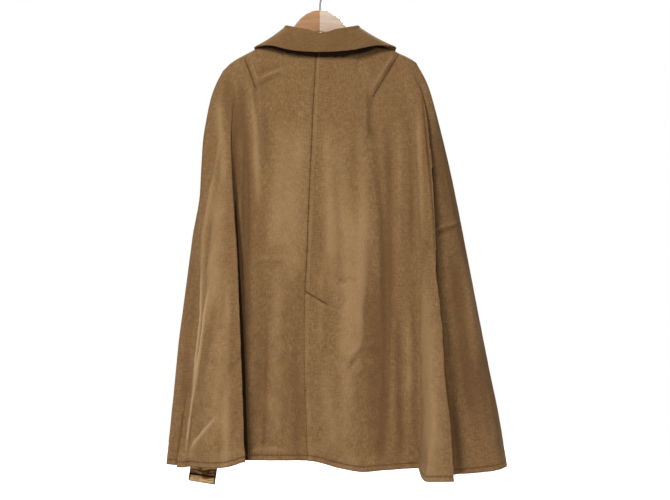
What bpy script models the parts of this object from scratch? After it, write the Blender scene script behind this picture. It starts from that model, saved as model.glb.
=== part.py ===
"""Wool cape hung on a two-part wooden hanger, back towards -Y.

The cloth is a set of thin walls. Each panel is a grid of points that hangs from the
neckline and the shoulder line down to the hem, with the large folds added, and a
second grid one cloth thickness further in. All sizes are in millimetres and are
turned to metres where a mesh is made. Heights are below the top of the hook, which
is the origin. X runs to the right as seen from behind the wearer.
"""

import math

import bmesh
import bpy
import numpy as np
from mathutils import Vector

MM = 0.001
LEFT, RIGHT = -1, 1
BACK, FRONT = -1, 1
UP = Vector((0, 0, 1))

CLOTH = 2.2
SEAM_GAP = 0.15
NECK_HALF_WIDTH = 78.0
NECK_BACK_DEPTH = 34.0
NECK_FRONT_DEPTH = 38.0
NECK_POINT_HEIGHT = -127.0
NECK_BACK_DROP = 21.0
NECK_FRONT_DROP = 83.0
SHOULDER_ROLL = 11.0
HANG_LENGTH = 70.0
SECTION_POWER = 2.6
COLUMN_EASE = 1.35
ROLL_DROPS = (0.0, 0.8, 2.6, 5.8, 11.0, 20.0, 36.0, 60.0)
HANGING_ROWS = 13

LAP_WIDTH = 25.0
LAP_STEP = CLOTH + 0.6
LAP_EASE = 18.0
VENT_TOP = -658.0
VENT_LAP = 47.0
VENT_SLANT = 28.0
VENT_STEP = CLOTH + 0.6
VENT_EASE = 14.0
VENT_HEM_RISE = 4.0

COLLAR_CLOTH = 2.4
COLLAR_SEAT_BACK = 0.9
COLLAR_SEAT_FRONT = 1.6
COLLAR_ROLL = 4.0
COLLAR_END = 160
COLLAR_STEP = 10

BELT_WIDTH = 57.0
BELT_THICKNESS = 3.0
BELT_TOP = -480.0
BELT_END = -1067.0
BELT_HIDDEN_END = -985.0
BELT_END_X = -251.0
BELT_LEAN = 0.14
BELT_DEPTH = 24.0
LOOP_HEIGHT = 10.0
LOOP_THICKNESS = 2.0
LOOP_SPARE = 6.0

BUTTON_RADIUS = 11.0
BUTTON_THICKNESS = 3.6
BUTTON_FIRST = -262.0
BUTTON_STEP = 118.0
BUTTON_COUNT = 4

HANGER_THICKNESS = 10.0
HANGER_BEVEL = 2.5
SHOULDER_SEAT = 4.2
HOOK_WIRE = 3.2
HOOK_INSIDE_RADIUS = 20.0
HOOK_SEAT = 0.3


def table(names, *rows):
    """The named columns of a short table, its rows sorted by the first column."""
    ordered = sorted(rows)
    return {name: [row[i] for row in ordered] for i, name in enumerate(names.split())}


def read(columns, name, at):
    """One column's value at a place on the first column, straight between rows."""
    keys = next(iter(columns.values()))
    return float(np.interp(at, keys, columns[name]))


# Half widths of the hanging cape, from its shoulder tip to the hem
SIDE = {
    LEFT: table("height reach",
                (-198, 204), (-225, 218), (-255, 229), (-307, 237), (-408, 248),
                (-465, 253), (-536, 266), (-639, 280), (-771, 297), (-889, 309),
                (-1020, 322)),
    RIGHT: table("height reach",
                 (-186, 205), (-217, 222), (-237, 230), (-301, 248), (-433, 279),
                 (-595, 311), (-715, 334), (-826, 356), (-923, 376), (-1026, 393)),
}

# The shoulder line, from the neck point out to the tip
SHOULDER = {
    LEFT: table("reach height", (78, -127), (112, -141), (146, -158), (185, -180),
                (204, -198)),
    RIGHT: table("reach height", (78, -127), (120, -141), (164, -160), (202, -181),
                 (205, -186)),
}

# How far the cloth stands behind and in front of the side seams
DEPTH = table("height back front",
              (-127, 36, 38), (-250, 40, 42), (-350, 46, 47), (-500, 55, 54),
              (-700, 65, 62), (-1030, 75, 72))

# The centre back seam and, below the vent, the folded edge that follows it
CENTRE_BACK = table("height x",
                    (-148, -6), (-287, -14), (-366, -17), (-498, -23), (-592, -26),
                    (-658, -30), (-780, -31), (-923, -27), (-1010, -24))

# Heights of the hem along the width
HEM = {
    BACK: table("x height",
                (-322, -1020), (-290, -1019), (-220, -1012), (-185, -1005),
                (-140, -1003), (-25, -1003), (45, -1019), (90, -1026), (130, -1023),
                (205, -1020), (240, -1034), (290, -1036), (350, -1031),
                (393, -1026)),
    FRONT: table("x height",
                 (-322, -1020), (-240, -1008), (-150, -1012), (-60, -1004),
                 (40, -1008), (150, -1022), (260, -1018), (393, -1026)),
}

# Each fold rises from rise_x over rise_width to its edge at edge_x, then turns back
# under itself by tuck, and the cloth beyond it is level again after recover
FOLD_COLUMNS = "height rise_x rise_width edge_x depth fall_width tuck recover"
FOLDS = {
    (BACK, LEFT): (
        (1, table(FOLD_COLUMNS,
                  (-230, -205, 40, -188, 0, 18, 0, 40),
                  (-300, -218, 45, -188, 7, 24, 3, 45),
                  (-372, -228, 45, -184, 15, 28, 11, 50),
                  (-465, -240, 50, -178, 24, 30, 23, 60),
                  (-600, -256, 60, -169, 33, 30, 32, 60),
                  (-770, -274, 75, -159, 41, 27, 35, 60),
                  (-1015, -285, 80, -150, 50, 27, 36, 60))),
        (-1, table(FOLD_COLUMNS,
                   (-640, 238, 22, 262, 0, 8, 0, 8),
                   (-826, 246, 20, 270, 9, 9, 11, 16),
                   (-923, 254, 18, 281, 13, 9, 13, 17),
                   (-1015, 262, 18, 291, 17, 10, 15, 18))),
    ),
    (BACK, RIGHT): (
        (1, table(FOLD_COLUMNS,
                  (-200, 150, 30, 186, 0, 10, 0, 8),
                  (-255, 178, 30, 214, 8, 10, 8, 8),
                  (-355, 190, 32, 227, 18, 14, 18, 16),
                  (-485, 197, 36, 234, 28, 18, 25, 28),
                  (-600, 200, 38, 236, 36, 20, 29, 38),
                  (-715, 202, 36, 244, 44, 22, 32, 48),
                  (-826, 202, 36, 250, 50, 24, 35, 55),
                  (-923, 203, 34, 261, 56, 26, 37, 60),
                  (-1035, 204, 24, 268, 62, 28, 39, 65))),
    ),
    (FRONT, LEFT): (
        (1, table(FOLD_COLUMNS,
                  (-300, -150, 50, -100, 0, 20, 0, 30),
                  (-600, -165, 55, -98, 16, 24, 20, 34),
                  (-1020, -190, 60, -96, 34, 28, 34, 36))),
    ),
    (FRONT, RIGHT): (
        (-1, table(FOLD_COLUMNS,
                   (-300, -190, 50, -128, 0, 20, 0, 40),
                   (-600, -222, 60, -138, 20, 24, 24, 60),
                   (-1020, -268, 70, -155, 42, 28, 38, 70))),
    ),
}

# The collar by the angle round the neck, from the centre back to the front end
COLLAR = table("angle roll_x roll_y roll_z edge_x edge_y edge_z bow",
               (0, 0, -38, -129.5, 0, -53, -167, 3),
               (10, 13, -37.5, -124.5, 21, -53, -166.5, 3),
               (20, 27, -35.5, -118, 42, -52.5, -165, 3),
               (30, 40, -32, -115, 63, -51, -162.5, 3),
               (60, 67, -18, -107.5, 116, -35, -150, 1),
               (80, 70.5, -6, -104.5, 144, -13, -149, -2),
               (90, 71, 0, -104, 149, 0, -151, -3),
               (100, 71, 7, -104.5, 149, 12, -150.5, -2),
               (120, 68, 22, -111, 140, 38, -172, 3),
               (140, 56, 36, -125, 106, 60, -214, 3),
               (160, 32, 46, -155, 66, 72, -246, 3))
COLLAR_EDGE_SHIFT = 11.0
COLLAR_ROLL_SHIFT = 4.5

# The upper and lower edges of one wooden half, from the joint out to the tip
HANGER_TOP = table("reach height", (0, -70), (14, -72), (28, -78.3), (41, -88.5),
                   (50, -99), (57, -108.5), (65, -121), (74, -133), (90, -139))
HANGER_BOTTOM = table("reach height", (0, -116), (28, -121), (58, -146), (100, -171),
                      (140, -187), (168, -198))
HANGER_TIP_REACH = 168.0
HANGER_TIP_DROP = 13.0


def smooth(value):
    """Zero below 0, one above 1, and an S between them."""
    value = min(max(value, 0.0), 1.0)
    return value * value * (3.0 - 2.0 * value)


def neck_point(angle):
    """A point of the neckline; 0 degrees is the centre back and 180 the front."""
    turn = math.radians(angle)
    if abs(angle) <= 90:
        depth, fall = NECK_BACK_DEPTH, NECK_BACK_DROP
    else:
        depth, fall = NECK_FRONT_DEPTH, NECK_FRONT_DROP
    height = NECK_POINT_HEIGHT - fall * math.cos(turn) ** 2
    return Vector((NECK_HALF_WIDTH * math.sin(turn), -depth * math.cos(turn), height))


def top_edge(x, face):
    """Height of a panel's top edge at x, and how far it stands from the shoulder."""
    side = LEFT if x < 0 else RIGHT
    if abs(x) >= NECK_HALF_WIDTH:
        return read(SHOULDER[side], "height", abs(x)), 0.0
    angle = math.degrees(math.asin(x / NECK_HALF_WIDTH))
    neck = neck_point(angle if face == BACK else 180 - angle)
    return neck.z, abs(neck.y)


def fold_offset(x, height, face):
    """How far the folds move a point of the cloth sideways and outwards."""
    side = LEFT if x < 0 else RIGHT
    sideways = outwards = 0.0
    for lean, fold in FOLDS[(face, side)]:
        along = x * lean
        row = {name: read(fold, name, height) for name in FOLD_COLUMNS.split()}
        rise = smooth((along - row["rise_x"]) / row["rise_width"])
        fallen = smooth((along - row["edge_x"]) / row["fall_width"])
        level_x = row["edge_x"] + row["fall_width"]
        level = smooth((along - level_x) / row["recover"])
        sideways -= lean * row["tuck"] * fallen * (1.0 - level)
        outwards += row["depth"] * rise * (1.0 - fallen)
    return sideways, outwards


def cloth_point(x, height, face, top_x=None):
    """A point of the cape's outer surface, hanging from the top edge at top_x."""
    side = LEFT if x < 0 else RIGHT
    top_x = x if top_x is None else top_x
    top_height, neck = top_edge(top_x, face)
    drop = max(top_height - height, 0.0)
    across = min(abs(x) / read(SIDE[side], "reach", height), 1.0)
    belly = (1.0 - across ** SECTION_POWER) ** (1.0 / SECTION_POWER)
    neck_share = neck / (NECK_BACK_DEPTH if face == BACK else NECK_FRONT_DEPTH)
    round_over = 1.0 - min(drop / SHOULDER_ROLL, 1.0)
    roll = SHOULDER_ROLL * math.sqrt(1.0 - round_over ** 2)
    roll *= (1.0 - neck_share) * min(1.0, belly * 1.6)
    start = SEAM_GAP + neck + roll
    hang = 1.0 - math.exp(-drop / HANG_LENGTH)
    wide = read(DEPTH, "back" if face == BACK else "front", height) * belly
    sideways, outwards = fold_offset(x, height, face)
    depth = start + (wide - start) * hang + outwards
    return Vector((x + sideways, face * max(depth, SEAM_GAP), height))


def fold_guide(side, face, height):
    """The line that the closest columns follow, down the fall of the main fold."""
    lean, fold = FOLDS[(face, side)][0]
    guide = lean * (read(fold, "edge_x", height) + read(fold, "fall_width", height) / 2)
    limit = read(SIDE[side], "reach", height) - 14.0
    return max(min(guide, limit), -limit)


def columns(start, guide, end, before, after):
    """Places across a panel, closer together near the guide."""
    inner = [1.0 - (1.0 - i / before) ** COLUMN_EASE for i in range(before)]
    outer = [(i / after) ** COLUMN_EASE for i in range(after + 1)]
    return ([start + (guide - start) * share for share in inner]
            + [guide + (end - guide) * share for share in outer])


def grid_normals(grid, outward):
    """Unit normals of a grid of points, on the side that outward chooses."""
    points = np.array([[tuple(p) for p in row] for row in grid])
    down = np.gradient(points, axis=0)
    along = np.gradient(points, axis=1)
    normals = np.cross(along, down) * outward
    lengths = np.linalg.norm(normals, axis=2, keepdims=True)
    return normals / np.maximum(lengths, 1e-9)


def new_object(name, mesh_maker, material):
    """An object named for its piece, from a bmesh in millimetres."""
    shape = bmesh.new()
    mesh_maker(shape)
    bmesh.ops.scale(shape, vec=(MM, MM, MM), verts=shape.verts)
    bmesh.ops.recalc_face_normals(shape, faces=shape.faces)
    mesh = bpy.data.meshes.new(name)
    shape.to_mesh(mesh)
    shape.free()
    piece = bpy.data.objects.new(name, mesh)
    bpy.context.collection.objects.link(piece)
    mesh.materials.append(material)
    mesh.shade_smooth()
    mesh.set_sharp_from_angle(angle=math.radians(40))
    return piece


def wall(name, outer, inner, material):
    """A closed wall of cloth between two grids of points."""
    def make(shape):
        faces = [[[shape.verts.new(tuple(p)) for p in row] for row in grid]
                 for grid in (outer, inner)]
        rows, cols = len(outer), len(outer[0])
        for side in faces:
            for i in range(rows - 1):
                for j in range(cols - 1):
                    shape.faces.new((side[i][j], side[i][j + 1], side[i + 1][j]))
                    shape.faces.new((side[i][j + 1], side[i + 1][j + 1],
                                     side[i + 1][j]))
        rim = ([(0, j) for j in range(cols)] + [(i, cols - 1) for i in range(1, rows)]
               + [(rows - 1, j) for j in range(cols - 2, -1, -1)]
               + [(i, 0) for i in range(rows - 2, 0, -1)])
        for (a, b), (c, d) in zip(rim, rim[1:] + rim[:1]):
            shape.faces.new((faces[0][a][b], faces[1][a][b],
                             faces[1][c][d], faces[0][c][d]))
    return new_object(name, make, material)


def cloth_material(name, colour, roughness, metallic=0.0):
    """A plain finish for one kind of piece."""
    material = bpy.data.materials.new(name)
    material.use_nodes = True
    shader = material.node_tree.nodes["Principled BSDF"]
    shader.inputs["Base Color"].default_value = (*colour, 1.0)
    shader.inputs["Roughness"].default_value = roughness
    shader.inputs["Metallic"].default_value = metallic
    return material


def panel_edge(side, face, height):
    """The edge of a panel at the centre back seam or the front lap."""
    if face == BACK:
        return read(CENTRE_BACK, "x", height) + side * SEAM_GAP
    return -side * LAP_WIDTH


def stepped_in(point, side, face):
    """The left panel dips under the right one at the front lap and at the vent."""
    if side == RIGHT:
        return point
    if face == FRONT:
        amount = LAP_STEP * smooth((point.x + LAP_WIDTH + LAP_EASE) / LAP_EASE)
    else:
        edge = read(CENTRE_BACK, "x", point.z)
        below = smooth((VENT_TOP - point.z) / 20.0)
        amount = VENT_STEP * below * smooth((point.x - edge + VENT_EASE) / VENT_EASE)
    return Vector((point.x, point.y - face * amount, point.z))


def panel(name, side, face, before, after, material):
    """One panel of the cape, from its neckline and shoulder to its hem."""
    tip = SIDE[side]["height"][-1]

    def places(height):
        return columns(panel_edge(side, face, height), fold_guide(side, face, height),
                       side * read(SIDE[side], "reach", height), before, after)

    top_x = places(tip)
    tops = [top_edge(x, face)[0] for x in top_x]
    hem_x = places(HEM[face]["height"][0 if side == LEFT else -1])
    hems = [read(HEM[face], "height", x) for x in hem_x]
    grid = []
    rows = len(ROLL_DROPS) + HANGING_ROWS
    for i in range(rows):
        row = []
        for j, start_x in enumerate(top_x):
            if i < len(ROLL_DROPS):
                height = tops[j] - ROLL_DROPS[i]
            else:
                share = (i - len(ROLL_DROPS) + 1) / HANGING_ROWS
                first = tops[j] - ROLL_DROPS[-1]
                height = first + (hems[j] - first) * share
            x = places(height)[j]
            row.append(stepped_in(cloth_point(x, height, face, start_x), side, face))
        grid.append(row)
    normals = grid_normals(grid, side * face)
    inner = []
    for i, row in enumerate(grid):
        line = []
        for j, point in enumerate(row):
            moved = point - Vector(normals[i][j]) * CLOTH
            if j == 0:
                moved.x = point.x
            if j == len(row) - 1 or (i == 0 and abs(top_x[j]) > NECK_HALF_WIDTH):
                moved.y = point.y
            if face * moved.y < SEAM_GAP:
                moved.y = face * SEAM_GAP
            line.append(moved)
        inner.append(line)
    return wall(name, grid, inner, material)


def vent_underlap(material):
    """The strip of the left back that lies under the right one in the vent."""
    outer, inner = [], []
    steps, rows = 4, 8
    for i in range(rows + 1):
        outer_row, inner_row = [], []
        for j in range(steps + 1):
            across = j / steps
            top = VENT_TOP - 24.0 - VENT_SLANT * across
            edge_x = read(CENTRE_BACK, "x", -1000)
            bottom = read(HEM[BACK], "height", edge_x + VENT_LAP * across)
            height = top + (bottom + VENT_HEM_RISE - top) * i / rows
            x = read(CENTRE_BACK, "x", height) + SEAM_GAP + VENT_LAP * across
            point = cloth_point(x, height, BACK)
            inset = CLOTH + 0.5
            outer_row.append(point + Vector((0, inset, 0)))
            inner_row.append(point + Vector((0, inset + CLOTH, 0)))
        outer.append(outer_row)
        inner.append(inner_row)
    return wall("vent_underlap", outer, inner, material)


def collar(material):
    """Stand and fall in one, folded over along the roll line."""
    centres, outwards = [], []
    for angle in range(-COLLAR_END, COLLAR_END + 1, COLLAR_STEP):
        side = LEFT if angle < 0 else RIGHT
        row = {name: read(COLLAR, name, abs(angle)) for name in COLLAR}
        spread = smooth(abs(angle) / 90)
        seam = neck_point(angle)
        seam.z += COLLAR_SEAT_BACK if abs(angle) <= 90 else COLLAR_SEAT_FRONT
        outdoors = Vector((seam.x, seam.y, 0)).normalized()
        seam -= outdoors * COLLAR_CLOTH / 2
        roll = Vector((side * row["roll_x"] + COLLAR_ROLL_SHIFT, row["roll_y"],
                       row["roll_z"]))
        edge = Vector((side * row["edge_x"] + COLLAR_EDGE_SHIFT * spread,
                       row["edge_y"], row["edge_z"]))
        fall = Vector((edge.x - roll.x, edge.y - roll.y, 0)).normalized()
        centre = roll - UP * COLLAR_ROLL
        profile = [seam, seam.lerp(centre, 0.5)]
        for turn in range(0, 181, 45):
            angle_up = math.radians(turn)
            profile.append(centre + (fall * (1 - math.cos(angle_up))
                                     + UP * math.sin(angle_up)) * COLLAR_ROLL)
        start = profile[-1]
        for share in (0.3, 0.65, 1.0):
            bow = row["bow"] * math.sin(math.pi * share)
            profile.append(start.lerp(edge, share) + (fall * 0.4 + UP) * bow)
        centres.append(profile)
        outwards.append(outdoors)
    normals = grid_normals(centres, -1)
    outer, inner = [], []
    for i, profile in enumerate(centres):
        steps = [Vector(normal) * COLLAR_CLOTH / 2 for normal in normals[i]]
        steps[0] = outwards[i] * COLLAR_CLOTH / 2 * (1 if steps[0].dot(outwards[i]) > 0
                                                     else -1)
        outer.append([p + step for p, step in zip(profile, steps)])
        inner.append([p - step for p, step in zip(profile, steps)])
    return wall("collar", outer, inner, material)


def ribbon(name, path, across, thickness, material):
    """A flat strip along a path, with its width along one direction."""
    grid = [[p - across, p, p + across] for p in path]
    normals = grid_normals(grid, 1)
    outer = [[p + Vector(normals[i][j]) * thickness / 2 for j, p in enumerate(row)]
             for i, row in enumerate(grid)]
    inner = [[p - Vector(normals[i][j]) * thickness / 2 for j, p in enumerate(row)]
             for i, row in enumerate(grid)]
    return wall(name, outer, inner, material)


def belt(material):
    """The belt, doubled over its loop inside the left front, tails down."""
    def centre_x(height):
        return BELT_END_X + (height - BELT_END) * BELT_LEAN

    radius = LOOP_THICKNESS / 2 + BELT_THICKNESS / 2 + 0.6
    path = [Vector((centre_x(h), BELT_DEPTH - radius, h))
            for h in np.linspace(BELT_END, BELT_TOP, 8)]
    for turn in range(30, 180, 30):
        angle = math.radians(turn)
        height = BELT_TOP + radius * math.sin(angle)
        path.append(Vector((centre_x(height), BELT_DEPTH - radius * math.cos(angle),
                            height)))
    path += [Vector((centre_x(h), BELT_DEPTH + radius, h))
             for h in np.linspace(BELT_TOP, BELT_HIDDEN_END, 7)]
    across = Vector((1, 0, -BELT_LEAN)).normalized() * BELT_WIDTH / 2
    return ribbon("belt", path, across, BELT_THICKNESS, material)


def belt_loop(material):
    """The loop that carries the belt, sewn by both ends to the left front."""
    height = BELT_TOP - LOOP_HEIGHT / 2 - BELT_WIDTH / 2 * BELT_LEAN - 0.3
    middle = BELT_END_X + (height - BELT_END) * BELT_LEAN
    reach = BELT_WIDTH / 2 + LOOP_SPARE
    ends = []
    for x in (middle - reach, middle + reach):
        skin = cloth_point(x, height, FRONT).y - CLOTH - 1.2
        ends.append(Vector((x, skin, height)))
    corner = 3.0
    path = [ends[0],
            Vector((middle - reach, BELT_DEPTH + corner, height)),
            Vector((middle - reach + corner, BELT_DEPTH, height)),
            Vector((middle + reach - corner, BELT_DEPTH, height)),
            Vector((middle + reach, BELT_DEPTH + corner, height)),
            ends[1]]
    across = Vector((0, 0, LOOP_HEIGHT / 2))
    return ribbon("belt_loop", path, across, LOOP_THICKNESS, material)


def button(number, cloth, material):
    """A dished round button, lying on the right front over the lap."""
    height = BUTTON_FIRST - BUTTON_STEP * number
    skin = max(outside_of(cloth, x, height + z)
               for x in (-BUTTON_RADIUS, 0, BUTTON_RADIUS)
               for z in (-BUTTON_RADIUS, 0, BUTTON_RADIUS))
    centre = Vector((0, skin + 0.3 + BUTTON_THICKNESS / 2, height))

    def make(shape):
        bmesh.ops.create_cone(shape, cap_ends=True, segments=20,
                              radius1=BUTTON_RADIUS, radius2=BUTTON_RADIUS - 0.8,
                              depth=BUTTON_THICKNESS)
        face = max(shape.faces, key=lambda f: f.calc_center_median().z)
        bmesh.ops.inset_region(shape, faces=[face], thickness=2.2, depth=0.0)
        bmesh.ops.inset_region(shape, faces=[face], thickness=0.8, depth=-1.0)
        turn = UP.rotation_difference(Vector((0, 1, 0)))
        bmesh.ops.rotate(shape, cent=(0, 0, 0), matrix=turn.to_matrix(),
                         verts=shape.verts)
        bmesh.ops.translate(shape, vec=centre, verts=shape.verts)
    return new_object(f"button_{number + 1}", make, material)


def outside_of(cloth, x, height):
    """How far forward a piece of cloth reaches at one place of the front."""
    start = Vector((x * MM, 1.0, height * MM))
    place = cloth.ray_cast(start, Vector((0, -1, 0)))[1]
    return place.y / MM


def hanger_half(name, side, material):
    """One wooden half, cut from a board and rounded along its edges."""
    upper = [(reach, read(HANGER_TOP, "height", reach))
             for reach in HANGER_TOP["reach"][:-1]]
    seat = [(reach, read(SHOULDER[side], "height", reach) - SHOULDER_SEAT)
            for reach in (96, 120, 146, HANGER_TIP_REACH)]
    tip_height = seat[-1][1] - HANGER_TIP_DROP / 2
    tip = [(HANGER_TIP_REACH + HANGER_TIP_DROP / 2 * math.cos(math.radians(a)),
            tip_height + HANGER_TIP_DROP / 2 * math.sin(math.radians(a)))
           for a in (45, 0, -45)]
    lower = [(HANGER_TIP_REACH, tip_height - HANGER_TIP_DROP / 2)]
    lower += [(reach, read(HANGER_BOTTOM, "height", reach))
              for reach in sorted(HANGER_BOTTOM["reach"], reverse=True)[1:]]
    outline = upper + seat + tip + lower

    def make(shape):
        points = [shape.verts.new((side * max(x, SEAM_GAP), -HANGER_THICKNESS / 2, z))
                  for x, z in outline]
        face = shape.faces.new(points)
        made = bmesh.ops.extrude_face_region(shape, geom=[face])
        moved = [v for v in made["geom"] if isinstance(v, bmesh.types.BMVert)]
        bmesh.ops.translate(shape, vec=(0, HANGER_THICKNESS, 0), verts=moved)
        rim = [e for e in shape.edges
               if abs(e.verts[0].co.y - e.verts[1].co.y) < 1e-6
               and not all(abs(v.co.x) < 1.0 for v in e.verts)]
        bmesh.ops.bevel(shape, geom=rim, offset=HANGER_BEVEL, segments=2, profile=0.5,
                        affect="EDGES", clamp_overlap=True)
    return new_object(name, make, material)


def hook(material):
    """A bent wire hook that rises from the joint of the two wooden halves."""
    radius = HOOK_INSIDE_RADIUS + HOOK_WIRE / 2
    centre = Vector((0, 0, -HOOK_INSIDE_RADIUS))
    foot = Vector((0, 0, HANGER_TOP["height"][0] + HOOK_SEAT))
    points = [foot, foot + Vector((0, 0, 8))]
    start = math.radians(-55)
    arc_start = centre + Vector((math.cos(start), 0, math.sin(start))) * radius
    knee = Vector((0, 0, arc_start.z - 5.5))
    for share in (0.2, 0.4, 0.6, 0.8):
        first = points[1].lerp(knee, share)
        points.append(first.lerp(knee.lerp(arc_start, share), share))
    for step in range(0, 22):
        angle = start + math.radians(265) * step / 21
        points.append(centre + Vector((math.cos(angle), 0, math.sin(angle))) * radius)
    curve = bpy.data.curves.new("hook", "CURVE")
    curve.dimensions = "3D"
    spline = curve.splines.new("POLY")
    spline.points.add(len(points) - 1)
    for place, point in zip(spline.points, points):
        place.co = (*(point * MM), 1.0)
    curve.bevel_depth = HOOK_WIRE / 2 * MM
    curve.bevel_resolution = 3
    curve.use_fill_caps = True
    curve.materials.append(material)
    piece = bpy.data.objects.new("hook", curve)
    bpy.context.collection.objects.link(piece)
    return piece


for old in list(bpy.data.objects):
    bpy.data.objects.remove(old, do_unlink=True)

WOOL = cloth_material("wool twill", (0.28, 0.16, 0.07), 0.9)
BELT_CLOTH = cloth_material("belt satin", (0.40, 0.24, 0.10), 0.5)
HORN = cloth_material("button plastic", (0.12, 0.06, 0.03), 0.35)
WOOD_LEFT = cloth_material("orange hanger wood", (0.48, 0.26, 0.12), 0.45)
WOOD_RIGHT = cloth_material("pale hanger wood", (0.75, 0.60, 0.50), 0.45)
STEEL = cloth_material("hook steel", (0.60, 0.60, 0.60), 0.25, 1.0)

panel("back_left", LEFT, BACK, 15, 19, WOOL)
panel("back_right", RIGHT, BACK, 22, 15, WOOL)
panel("front_left", LEFT, FRONT, 10, 12, WOOL)
lapped_front = panel("front_right", RIGHT, FRONT, 10, 12, WOOL)
bpy.context.view_layer.update()
vent_underlap(WOOL)
collar(WOOL)
belt(BELT_CLOTH)
belt_loop(WOOL)
for count in range(BUTTON_COUNT):
    button(count, lapped_front, HORN)
hanger_half("hanger_left", LEFT, WOOD_LEFT)
hanger_half("hanger_right", RIGHT, WOOD_RIGHT)
hook(STEEL)
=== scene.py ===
import math

import bmesh
import bpy
import numpy as np
from mathutils import Euler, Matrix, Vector, noise


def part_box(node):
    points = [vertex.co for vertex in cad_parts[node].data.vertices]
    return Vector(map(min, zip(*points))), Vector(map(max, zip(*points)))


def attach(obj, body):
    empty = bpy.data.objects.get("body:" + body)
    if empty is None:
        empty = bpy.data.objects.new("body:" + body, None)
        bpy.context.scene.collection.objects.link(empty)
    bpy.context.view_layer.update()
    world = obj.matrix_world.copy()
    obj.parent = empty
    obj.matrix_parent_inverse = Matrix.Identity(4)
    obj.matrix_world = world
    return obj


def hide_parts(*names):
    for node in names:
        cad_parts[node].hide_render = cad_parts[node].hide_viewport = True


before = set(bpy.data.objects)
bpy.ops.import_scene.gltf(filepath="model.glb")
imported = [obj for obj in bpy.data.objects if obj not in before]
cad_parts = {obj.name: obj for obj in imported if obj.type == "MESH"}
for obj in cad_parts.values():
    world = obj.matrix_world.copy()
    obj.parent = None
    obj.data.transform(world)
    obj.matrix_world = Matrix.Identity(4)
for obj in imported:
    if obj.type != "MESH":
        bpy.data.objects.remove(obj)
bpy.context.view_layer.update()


# The two back panels. They are wool twill of coat weight with a brushed nap, cut flared,
# with a dart at each shoulder, and sewn to each other at the centre back down to the
# vent. They hang from the neckline and the hanger's shoulders to a hem stitched once.

MM = 0.001
LEFT, RIGHT = -1, 1
BACK, FRONT = -1, 1
CLOTH = 2.2
SEAM_GAP = 0.15
NECK_HALF_WIDTH = 78.0
NECK_POINT_HEIGHT = -127.0
NECK = {BACK: (34.0, 21.0), FRONT: (38.0, 83.0)}
SHOULDER_ROLL = 11.0
HANG_LENGTH = 70.0
SECTION_POWER = 2.6
COLUMN_EASE = 1.35
SIDE_MARGIN = 14.0
VENT_TOP = -658.0
VENT_STEP = CLOTH + 0.6
VENT_EASE = 14.0
SEAM_SINK = 1.5
SEAM_PRESSED = 11.0
SEAM_TURN = 9.0
HEM_STITCH = 10.5
HEM_TURN = 13.0
HEM_ALLOWANCE = 32.0
FREE_FROM = -187.0
LIVELY_FROM = -420.0
# The width under which a raised crease gets a painted highlight, and the limits, strengths and
# reaches of the painted light and shade
HIGHLIT_CREASE_WIDTH = 3.0
RIDGE_LIMIT = 6.0
FOLD_SHADE = 20.0
COLLAR_SHADE = 16.0
DEEP_FOLD = 24.0
LINE_SHADE = 2.8
BROAD_SHADE = 15.0


def table(names, *rows):
    """The named columns of a short table, its rows sorted by the first column."""
    ordered = sorted(rows)
    return {name: [row[i] for row in ordered] for i, name in enumerate(names.split())}


def read(columns, name, at):
    """One column at a place on the first, on a curve that never overshoots its rows."""
    keys = np.array(next(iter(columns.values())), float)
    values = np.array(columns[name], float)
    steps = np.diff(values) / np.diff(keys)
    slopes = np.zeros(len(keys))
    same_way = steps[:-1] * steps[1:] > 0
    slopes[1:-1][same_way] = (2 * steps[:-1] * steps[1:]
                              / np.where(same_way, steps[:-1] + steps[1:], 1))[same_way]
    slopes[0], slopes[-1] = steps[0], steps[-1]
    at = np.clip(at, keys[0], keys[-1])
    i = np.clip(np.searchsorted(keys, at, side="right") - 1, 0, len(keys) - 2)
    gap = keys[i + 1] - keys[i]
    t = (at - keys[i]) / gap
    return (values[i] * (1 + 2 * t) * (1 - t) ** 2 + slopes[i] * gap * t * (1 - t) ** 2
            + values[i + 1] * t * t * (3 - 2 * t) + slopes[i + 1] * gap * t * t * (t - 1))


def smooth(value):
    """Zero below 0, one above 1, and an S between them."""
    value = np.clip(value, 0.0, 1.0)
    return value * value * (3.0 - 2.0 * value)


# Half widths of the hanging cape, from its shoulder tip to the hem
SIDE = {
    LEFT: table("height reach",
                (-198, 204), (-225, 218), (-255, 229), (-307, 240), (-345, 246), (-408, 250),
                (-465, 253), (-536, 266), (-639, 280), (-771, 297), (-889, 309),
                (-1020, 322)),
    RIGHT: table("height reach",
                 (-186, 205), (-217, 222), (-237, 230), (-301, 248), (-433, 279),
                 (-595, 311), (-715, 334), (-826, 356), (-923, 376), (-1026, 393)),
}

# The shoulder line, from the neck point out to the tip
SHOULDER = {
    LEFT: table("reach height", (78, -127), (112, -141), (146, -158), (185, -180),
                (204, -198)),
    RIGHT: table("reach height", (78, -127), (120, -141), (164, -160), (202, -181),
                 (205, -186)),
}

# How far the cloth stands behind and in front of the side seams
DEPTH = table("height back front",
              (-127, 36, 38), (-250, 40, 42), (-350, 46, 47), (-500, 55, 54),
              (-700, 65, 62), (-1030, 75, 72))

# The centre back seam and, below the vent, the folded edge that follows it
CENTRE_BACK = table("height x",
                    (-148, -6), (-287, -14), (-366, -17), (-498, -23), (-592, -26),
                    (-658, -30), (-780, -31), (-923, -27), (-1010, -24))

# Heights of the hem along the width
HEM = {BACK: table("x height",
                   (-322, -1020), (-290, -1019), (-220, -1012), (-185, -1008),
                   (-166, -1003), (-150, -998), (-132, -1002), (-25, -1003),
                   (45, -1019), (90, -1026), (130, -1023), (201, -1019),
                   (203.5, -1020), (205.5, -1030), (209, -1033.5), (216, -1034.5),
                   (240, -1035), (290, -1036), (350, -1031), (393, -1026))}

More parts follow.
